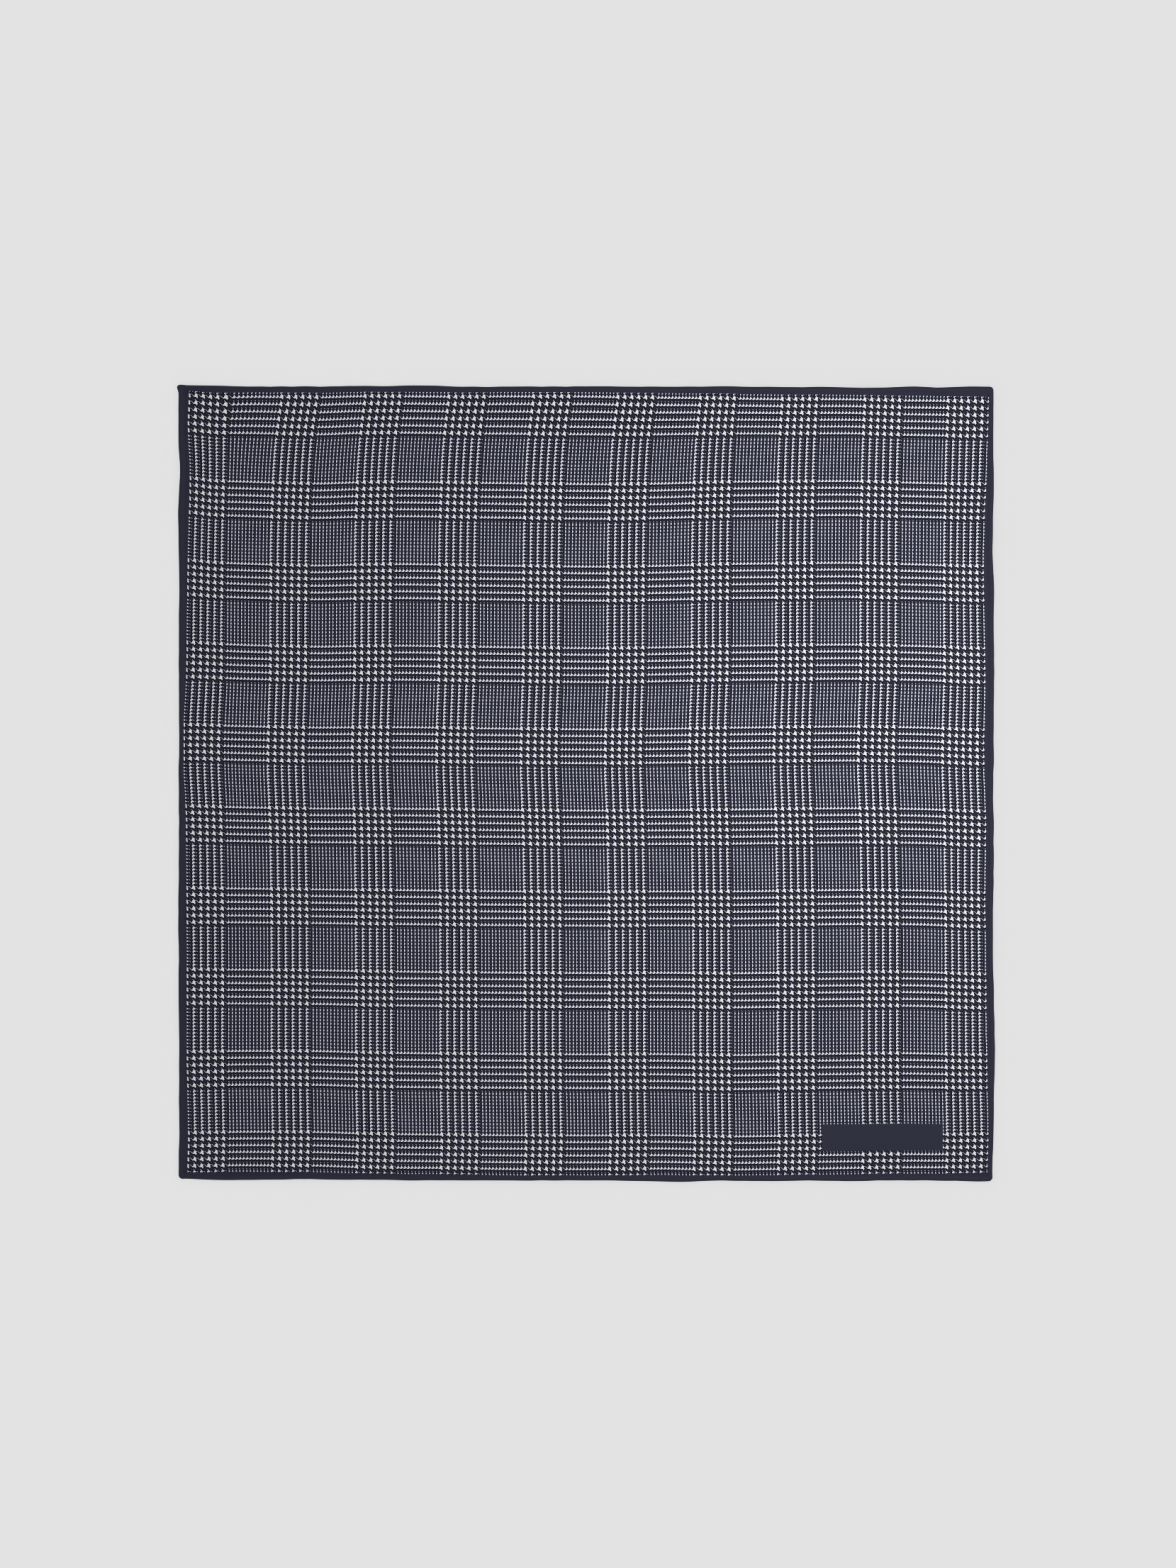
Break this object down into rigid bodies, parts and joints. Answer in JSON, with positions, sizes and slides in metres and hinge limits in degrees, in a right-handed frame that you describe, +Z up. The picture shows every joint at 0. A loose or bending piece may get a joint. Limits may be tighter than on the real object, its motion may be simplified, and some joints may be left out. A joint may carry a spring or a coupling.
{
  "type": "pocket square",
  "caption": "Square of thin printed silk lying open and flat, with a raised rolled hem on all four sides and low swells in the cloth.",
  "frame": {"origin": "on the surface that the cloth lies on, under the middle of the square", "axes": "+Z up out of the printed face, +X to the right across the cloth, +Y up the cloth towards its top hem"},
  "size_m": [0.331, 0.3228, 0.0029],
  "materials": {
    "printed_silk": "fine silk twill, soft sheen, navy and off-white glen check"
  },
  "bodies": {
    "root": {"pocket_square": "printed_silk"}
  },
  "joints": []
}
